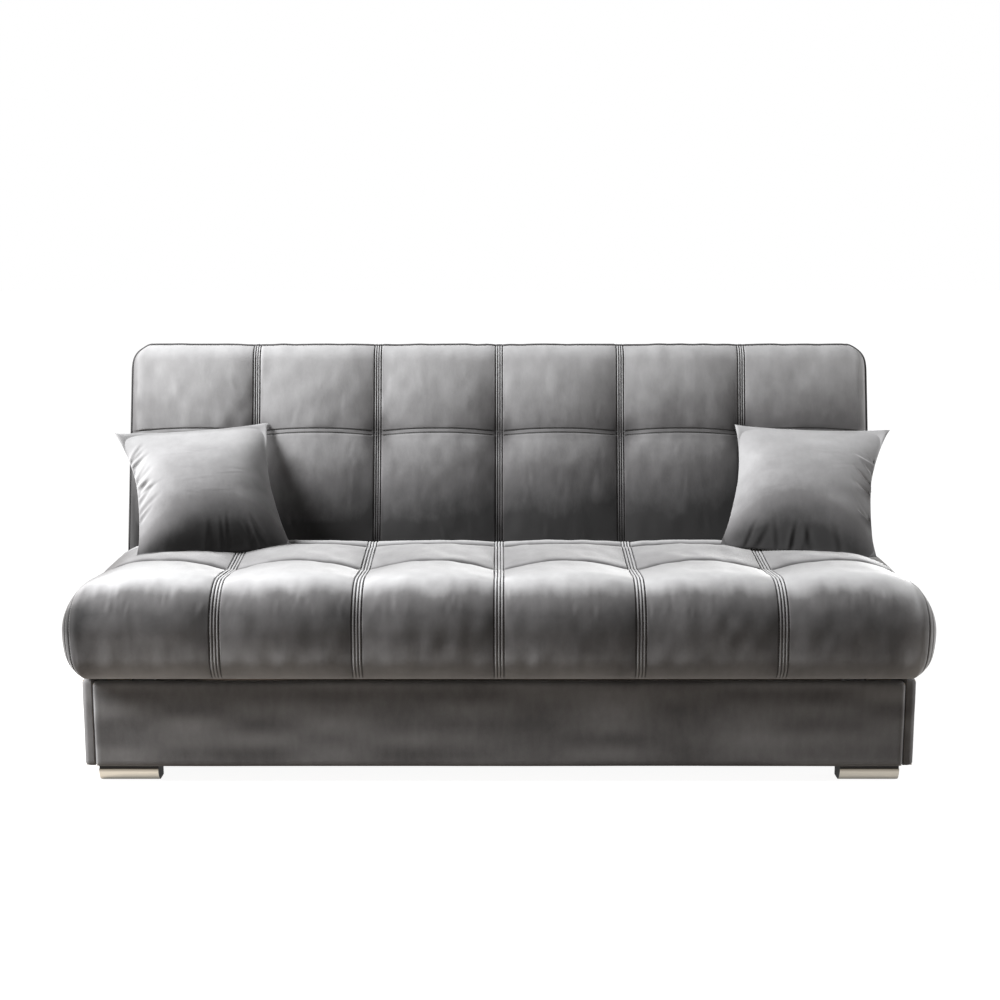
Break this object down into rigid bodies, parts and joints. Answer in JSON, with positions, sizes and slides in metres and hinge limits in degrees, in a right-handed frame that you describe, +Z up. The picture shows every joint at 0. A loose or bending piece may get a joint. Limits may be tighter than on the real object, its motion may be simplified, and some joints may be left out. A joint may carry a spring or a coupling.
{
  "type": "sofa bed",
  "caption": "Armless velour sofa bed: a quilted seat that lifts over a linen box, a quilted back that reclines flat, loose scatter cushions and low feet.",
  "frame": {"origin": "on the floor under the middle of the sofa's bounding box, as a sofa with its back upright", "axes": "+X to the right seen from the front, along the sofa's length; +Y from the seat's front to the back; +Z up"},
  "size_m": [1.97, 0.9284, 0.955],
  "materials": {
    "velour": "short brushed pile",
    "foam": "open cell foam",
    "filling": "fibre filling",
    "lining": "non-woven",
    "pine": "planed, bare",
    "slat_wood": "bent laminated, satin",
    "chipboard": "sanded board",
    "hardboard": "smooth face",
    "hinge_steel": "satin black",
    "bolt_steel": "zinc plated",
    "trim_steel": "satin",
    "foot_plastic": "matt black",
    "holder_plastic": "moulded"
  },
  "bodies": {
    "base": {"front_board": "chipboard", "front_cover": "velour", "side_board_left": "chipboard", "side_board_right": "chipboard", "side_cover_left": "velour", "side_cover_right": "velour", "rear_board": "chipboard", "floor_battens": "pine", "box_floor": "hardboard", "corner_blocks": "pine", "box_bolts": "bolt_steel", "foot_screws": "bolt_steel", "hinge_plate_left": "hinge_steel", "hinge_plate_right": "hinge_steel", "plate_bolts": "bolt_steel", "seat_pivot_pins": "bolt_steel", "back_pivot_pins": "bolt_steel", "hinge_washers": "bolt_steel", "foot_front_left": "foot_plastic", "foot_front_right": "foot_plastic", "foot_rear_left": "foot_plastic", "foot_rear_right": "foot_plastic", "foot_trims": "trim_steel"},
    "seat": {"seat_hinge_rail": "pine", "seat_free_rail": "pine", "seat_centre_rail": "pine", "seat_end_rail_left": "pine", "seat_end_rail_right": "pine", "seat_slats": "slat_wood", "seat_slat_holders": "holder_plastic", "seat_foam": "foam", "seat_cover": "velour", "seat_lining": "lining", "seat_hinge_arm_left": "hinge_steel", "seat_hinge_arm_right": "hinge_steel", "seat_arm_bolts": "bolt_steel"},
    "back": {"back_hinge_rail": "pine", "back_free_rail": "pine", "back_centre_rail": "pine", "back_end_rail_left": "pine", "back_end_rail_right": "pine", "back_slats": "slat_wood", "back_slat_holders": "holder_plastic", "back_foam": "foam", "back_cover": "velour", "back_lining": "lining", "back_hinge_arm_left": "hinge_steel", "back_hinge_arm_right": "hinge_steel", "back_arm_bolts": "bolt_steel"},
    "cushion_left": {"cushion_cover_left": "velour", "cushion_filling_left": "filling"},
    "cushion_right": {"cushion_cover_right": "velour", "cushion_filling_right": "filling"}
  },
  "joints": [
    {"name": "seat_lift", "type": "hinge", "parent": "base", "child": "seat", "pos_m": [0, 0.01677, 0.355], "axis": [-1, 0, 0], "range_deg": [0, 45]},
    {"name": "back_recline", "type": "hinge", "parent": "base", "child": "back", "pos_m": [0, 0.23277, 0.369], "axis": [-1, 0, 0], "range_deg": [0, 75.5]},
    {"name": "cushion_slide_left", "type": "slide", "parent": "back", "child": "cushion_left", "axis": [0, 0.2504, 0.9681], "range_m": [0, 0.19]},
    {"name": "cushion_slide_right", "type": "slide", "parent": "back", "child": "cushion_right", "axis": [0, 0.2504, 0.9681], "range_m": [0, 0.19]}
  ],
  "couplings": [
    {"joint": "cushion_slide_left", "follows": "seat_lift", "m_per_rad": 0.235},
    {"joint": "cushion_slide_right", "follows": "seat_lift", "m_per_rad": 0.235}
  ]
}
